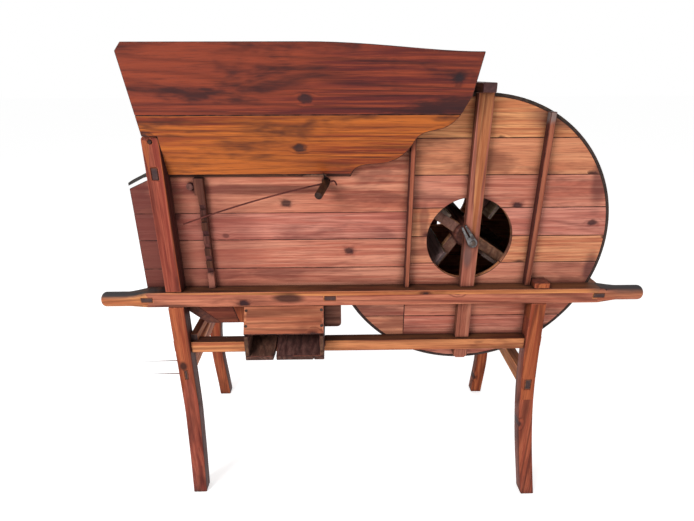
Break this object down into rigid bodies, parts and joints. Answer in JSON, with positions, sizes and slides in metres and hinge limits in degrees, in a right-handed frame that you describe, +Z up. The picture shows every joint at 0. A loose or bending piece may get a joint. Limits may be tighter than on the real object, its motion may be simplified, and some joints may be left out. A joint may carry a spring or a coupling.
{
  "type": "fanning mill",
  "caption": "Hand-cranked wooden winnowing machine: grain falls from a flared hopper past a gate through the wind of a drum fan, which sorts it to chute, outlet and open mouth.",
  "frame": {"origin": "on the floor under the middle of the machine's bounding box", "axes": "+X along the carrying rails from the open mouth towards the fan drum, +Y away from the crank side, +Z up"},
  "size_m": [1.6, 0.7918, 1.4506],
  "materials": {
    "frame_timber": "oiled, worn",
    "leg_timber": "oiled, worn",
    "wall_boards": "tung-oil varnish",
    "rim_boards": "weathered",
    "roof_boards": "weathered",
    "outlet_boards": "oiled, worn",
    "chute_boards": "oiled, worn",
    "hopper_boards": "glossy tung-oil varnish",
    "dark_sticks": "worn, dirty",
    "gate_board": "bare",
    "bamboo": "bare",
    "fan_wood": "dusty, weathered",
    "iron": "forged, worn"
  },
  "bodies": {
    "mill": {"upper_rail_front": "frame_timber", "upper_rail_back": "frame_timber", "lower_rail_front": "frame_timber", "lower_rail_back": "frame_timber", "bearing_post_front": "frame_timber", "bearing_post_back": "frame_timber", "top_cross_beam": "frame_timber", "rail_crossbar_left": "frame_timber", "rail_crossbar_middle": "frame_timber", "rail_crossbar_right": "frame_timber", "hopper_crossbar": "frame_timber", "lower_strut": "frame_timber", "drum_batten_front_left": "frame_timber", "drum_batten_front_right": "frame_timber", "drum_batten_back_left": "frame_timber", "drum_batten_back_right": "frame_timber", "leg_front_left": "leg_timber", "leg_back_left": "leg_timber", "leg_front_right": "leg_timber", "leg_back_right": "leg_timber", "leg_rung_left": "leg_timber", "leg_rung_right": "leg_timber", "duct_wall_front": "wall_boards", "duct_wall_back": "wall_boards", "drum_wall_front": "wall_boards", "drum_wall_back": "wall_boards", "drum_rim": "rim_boards", "duct_roof": "roof_boards", "tail_roof_board": "roof_boards", "duct_floor": "roof_boards", "light_outlet_slope": "outlet_boards", "outlet_divider": "outlet_boards", "outlet_skirt_front": "outlet_boards", "outlet_skirt_back": "outlet_boards", "trough_side_board": "outlet_boards", "wall_cheek": "outlet_boards", "grain_chute_floor": "chute_boards", "grain_chute_side_left": "chute_boards", "grain_chute_side_right": "chute_boards", "grain_chute_cover": "chute_boards", "hopper_front_upper": "hopper_boards", "hopper_front_lower": "hopper_boards", "hopper_back_upper": "hopper_boards", "hopper_back_lower": "hopper_boards", "hopper_left_slope": "hopper_boards", "hopper_right_slope": "hopper_boards", "notched_rack": "dark_sticks", "wall_peg": "dark_sticks", "post_pegs": "dark_sticks", "cover_nails": "iron"},
    "fan": {"fan_hub": "fan_wood", "fan_spokes": "fan_wood", "fan_paddles": "fan_wood", "paddle_nails": "iron", "fan_gudgeon_front": "iron", "fan_gudgeon_back": "iron", "crank_arm": "iron"},
    "gate": {"gate_shaft": "dark_sticks", "gate_flap": "gate_board", "gate_rod": "bamboo"}
  },
  "joints": [
    {"name": "fan_spin", "type": "hinge", "parent": "mill", "child": "fan", "pos_m": [0.2745, 0, 0.9386], "axis": [0, 1, 0], "continuous": true},
    {"name": "gate_turn", "type": "hinge", "parent": "mill", "child": "gate", "pos_m": [-0.1368, 0, 1.1106], "axis": [0, 1, 0], "range_deg": [-20, 8]}
  ]
}
